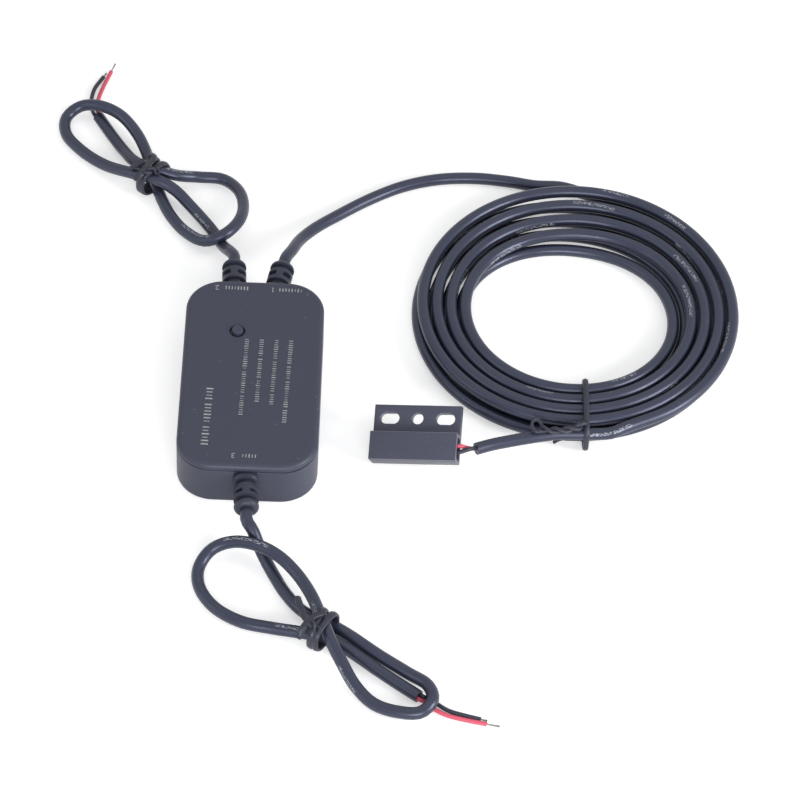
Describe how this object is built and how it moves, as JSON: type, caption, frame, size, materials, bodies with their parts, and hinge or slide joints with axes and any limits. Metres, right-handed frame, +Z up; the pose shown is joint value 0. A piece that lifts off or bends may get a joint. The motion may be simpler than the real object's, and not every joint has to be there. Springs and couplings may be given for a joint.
{
  "type": "garage door controller",
  "caption": "Sealed rounded box with a small round pairing button, moulded cable entries, tied supply leads and a coiled lead to a flanged reed sensor.",
  "frame": {"origin": "bottom centre of the box, on the surface it lies on", "axes": "+Y along the box towards the two-cable end, +X to the right of that, +Z up through the cover"},
  "size_m": [0.2298, 0.2809, 0.0179],
  "materials": {
    "shell": "fine satin texture",
    "sensor_shell": "semi gloss",
    "relief": "satin moulded",
    "jacket": "satin soft",
    "tie": "satin",
    "button": "satin",
    "plunger": "satin",
    "switch": "satin",
    "board": "solder mask",
    "module": "solder mask",
    "shield": "brushed",
    "relay": "satin",
    "ferrite": "matt",
    "can": "satin",
    "solder": "bright",
    "screw": "zinc plated",
    "red_wire": "satin",
    "black_wire": "satin",
    "tinned": "tinned",
    "resin": "glossy",
    "capsule": "clear"
  },
  "bodies": {
    "controller": {"base_shell": "shell", "top_cover": "shell", "circuit_board": "board", "wifi_board": "module", "wifi_shield": "shield", "relay": "relay", "inductor": "ferrite", "capacitor": "can", "terminal_pads": "solder", "switch_body": "switch", "housing_screws": "screw", "board_screws": "screw", "dc_relief": "relief", "gnd_relief": "relief", "sensor_relief": "relief", "dc_inner_wires": "red_wire", "gnd_inner_wires": "red_wire", "sensor_inner_wires": "red_wire", "dc_cord": "jacket", "dc_red_wire": "red_wire", "dc_black_wire": "black_wire", "dc_bare_strands": "tinned", "dc_tie": "tie", "gnd_cord": "jacket", "gnd_red_wire": "red_wire", "gnd_black_wire": "black_wire", "gnd_bare_strands": "tinned", "gnd_tie": "tie", "sensor_lead": "jacket", "sensor_coil": "jacket", "sensor_tail": "jacket", "coil_tie": "tie", "sensor_red_wire": "red_wire", "sensor_black_wire": "black_wire", "sensor_housing": "sensor_shell", "sensor_potting": "resin", "reed_capsule": "capsule", "reed_leads": "tinned"},
    "button": {"switch_plunger": "plunger", "button_cap": "button"}
  },
  "joints": [
    {"name": "button_press", "type": "slide", "parent": "controller", "child": "button", "axis": [0, 0, -1], "range_m": [0, 0.0005], "stiffness_N_per_m": 1200}
  ]
}
